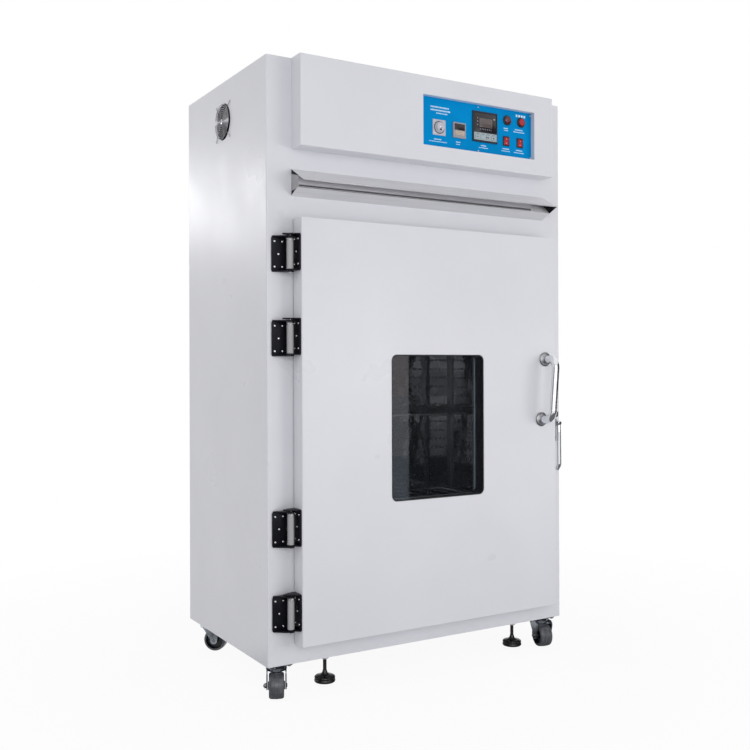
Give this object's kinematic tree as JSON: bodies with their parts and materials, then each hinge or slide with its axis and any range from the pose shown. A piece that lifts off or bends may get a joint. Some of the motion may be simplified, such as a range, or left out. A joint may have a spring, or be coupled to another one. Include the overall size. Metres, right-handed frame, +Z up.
{
  "type": "drying oven",
  "caption": "Floor-standing hot-air drying oven on casters: side-hinged door with a window, sunk control panel, heat hood and perforated air ducts.",
  "frame": {"origin": "on the floor, below the middle of the oven's overall box", "axes": "+Z up, +X to the right seen from the front, the front faces -Y"},
  "size_m": [1.0871, 0.799, 1.824],
  "materials": {
    "painted_white": "off-white powder coat with a fine orange-peel texture",
    "stainless": "brushed stainless sheet",
    "polished_steel": "polished stainless",
    "zinc": "bright zinc-plated steel",
    "chrome": "polished chrome plate",
    "black_metal": "black satin enamel on steel",
    "dark_steel": "dark enamelled steel",
    "blue_panel": "satin cyan-blue panel lacquer",
    "wool": "felted mineral wool",
    "glass": "tinted toughened glass",
    "silicone": "matt silicone seal",
    "tread": "grey rubber tread",
    "black_plastic": "black moulded plastic",
    "grey_plastic": "grey moulded plastic",
    "light_plastic": "light grey moulded plastic",
    "red_plastic": "red translucent plastic",
    "dark_red_plastic": "dark red lens",
    "motor_paint": "grey-blue motor enamel",
    "heater_sheath": "heat-tinted stainless sheath"
  },
  "bodies": {
    "cabinet": {"base_pan": "painted_white", "side_panel_left": "painted_white", "side_panel_right": "painted_white", "top_panel": "painted_white", "back_panel": "painted_white", "front_frame": "painted_white", "chamber_liner": "stainless", "cabinet_wool": "wool", "duct_panels": "stainless", "plenum_baffle": "stainless", "shelf_rails": "stainless", "shelf_lower": "polished_steel", "shelf_upper": "polished_steel", "heater_elements": "heater_sheath", "temperature_probe": "polished_steel", "fan_motor": "motor_paint", "control_box": "painted_white", "control_panel": "blue_panel", "overheat_dial": "light_plastic", "timer": "grey_plastic", "controller": "black_plastic", "alarm_lamp": "dark_red_plastic", "switch_bezels": "black_plastic", "heat_hood": "polished_steel", "fan_guard": "dark_steel", "side_fan_frame": "black_plastic", "exhaust_spigot": "stainless", "cable_gland": "black_plastic", "hinge_frame_leaves": "black_metal", "hinge_pins": "polished_steel", "latch_keeper": "chrome", "caster_plates": "zinc", "foot_nuts": "zinc"},
    "door": {"door_shell": "painted_white", "door_inner_pan": "stainless", "door_wool": "wool", "window_panes": "glass", "door_seal": "silicone", "door_handle": "chrome", "hinge_door_leaves": "black_metal", "latch_base": "black_metal"},
    "latch": {"latch_lever": "chrome"},
    "circulation_fan": {"circulation_fan": "stainless"},
    "side_fan": {"side_fan_rotor": "black_plastic"},
    "overheat_knob": {"overheat_knob": "light_plastic"},
    "push_button": {"push_button": "red_plastic"},
    "power_switch": {"rocker_power": "red_plastic"},
    "heat_switch": {"rocker_heat": "red_plastic"},
    "caster_front_left": {"caster_fork_front_left": "zinc"},
    "wheel_front_left": {"caster_wheel_front_left": "tread"},
    "foot_front_left": {"foot_front_left": "dark_steel"},
    "caster_front_right": {"caster_fork_front_right": "zinc"},
    "wheel_front_right": {"caster_wheel_front_right": "tread"},
    "foot_front_right": {"foot_front_right": "dark_steel"},
    "caster_rear_left": {"caster_fork_rear_left": "zinc"},
    "wheel_rear_left": {"caster_wheel_rear_left": "tread"},
    "foot_rear_left": {"foot_rear_left": "dark_steel"},
    "caster_rear_right": {"caster_fork_rear_right": "zinc"},
    "wheel_rear_right": {"caster_wheel_rear_right": "tread"},
    "foot_rear_right": {"foot_rear_right": "dark_steel"}
  },
  "joints": [
    {"name": "door_swing", "type": "hinge", "parent": "cabinet", "child": "door", "pos_m": [-0.479, -0.3035, 0.76], "axis": [0, 0, -1], "range_deg": [0, 135]},
    {"name": "latch_turn", "type": "hinge", "parent": "door", "child": "latch", "pos_m": [0.4946, -0.3265, 0.756], "axis": [-1, 0, 0], "range_deg": [-12, 70]},
    {"name": "circulation_fan_spin", "type": "hinge", "parent": "cabinet", "child": "circulation_fan", "pos_m": [0.008, -0.0265, 1.3], "axis": [0, 0, 1], "continuous": true},
    {"name": "side_fan_spin", "type": "hinge", "parent": "cabinet", "child": "side_fan", "pos_m": [-0.528, 0.0395, 1.702], "axis": [1, 0, 0], "continuous": true},
    {"name": "overheat_knob_turn", "type": "hinge", "parent": "cabinet", "child": "overheat_knob", "pos_m": [0.0192, -0.3285, 1.6775], "axis": [0, -1, 0], "range_deg": [-135, 135]},
    {"name": "push_button_press", "type": "slide", "parent": "cabinet", "child": "push_button", "axis": [0, 1, 0], "range_m": [0, 0.003], "stiffness_N_per_m": 400},
    {"name": "power_rocker_tip", "type": "hinge", "parent": "cabinet", "child": "power_switch", "pos_m": [0.2807, -0.32, 1.6664], "axis": [-1, 0, 0], "range_deg": [0, 14]},
    {"name": "heat_rocker_tip", "type": "hinge", "parent": "cabinet", "child": "heat_switch", "pos_m": [0.3367, -0.32, 1.6664], "axis": [-1, 0, 0], "range_deg": [0, 14]},
    {"name": "caster_swivel_front_left", "type": "hinge", "parent": "cabinet", "child": "caster_front_left", "pos_m": [-0.49, -0.2285, 0.085], "axis": [0, 0, 1], "continuous": true},
    {"name": "wheel_roll_front_left", "type": "hinge", "parent": "caster_front_left", "child": "wheel_front_left", "pos_m": [-0.50014, -0.25025, 0.0375], "axis": [-0.9063, 0.4226, 0], "continuous": true},
    {"name": "foot_screw_front_left", "type": "slide", "parent": "cabinet", "child": "foot_front_left", "axis": [0, 0, 1], "range_m": [-0.012, 0.015]},
    {"name": "caster_swivel_front_right", "type": "hinge", "parent": "cabinet", "child": "caster_front_right", "pos_m": [0.49, -0.2285, 0.085], "axis": [0, 0, 1], "continuous": true},
    {"name": "wheel_roll_front_right", "type": "hinge", "parent": "caster_front_right", "child": "wheel_front_right", "pos_m": [0.4846, -0.25189, 0.0375], "axis": [-0.9744, 0.225, 0], "continuous": true},
    {"name": "foot_screw_front_right", "type": "slide", "parent": "cabinet", "child": "foot_front_right", "axis": [0, 0, 1], "range_m": [-0.012, 0.015]},
    {"name": "caster_swivel_rear_left", "type": "hinge", "parent": "cabinet", "child": "caster_rear_left", "pos_m": [-0.49, 0.2995, 0.085], "axis": [0, 0, 1], "continuous": true},
    {"name": "wheel_roll_rear_left", "type": "hinge", "parent": "caster_rear_left", "child": "wheel_rear_left", "pos_m": [-0.47162, 0.28407, 0.0375], "axis": [-0.6428, -0.766, 0], "continuous": true},
    {"name": "foot_screw_rear_left", "type": "slide", "parent": "cabinet", "child": "foot_rear_left", "axis": [0, 0, 1], "range_m": [-0.012, 0.015]},
    {"name": "caster_swivel_rear_right", "type": "hinge", "parent": "cabinet", "child": "caster_rear_right", "pos_m": [0.49, 0.2995, 0.085], "axis": [0, 0, 1], "continuous": true},
    {"name": "wheel_roll_rear_right", "type": "hinge", "parent": "caster_rear_right", "child": "wheel_rear_right", "pos_m": [0.46921, 0.2875, 0.0375], "axis": [-0.5, 0.866, 0], "continuous": true},
    {"name": "foot_screw_rear_right", "type": "slide", "parent": "cabinet", "child": "foot_rear_right", "axis": [0, 0, 1], "range_m": [-0.012, 0.015]}
  ]
}
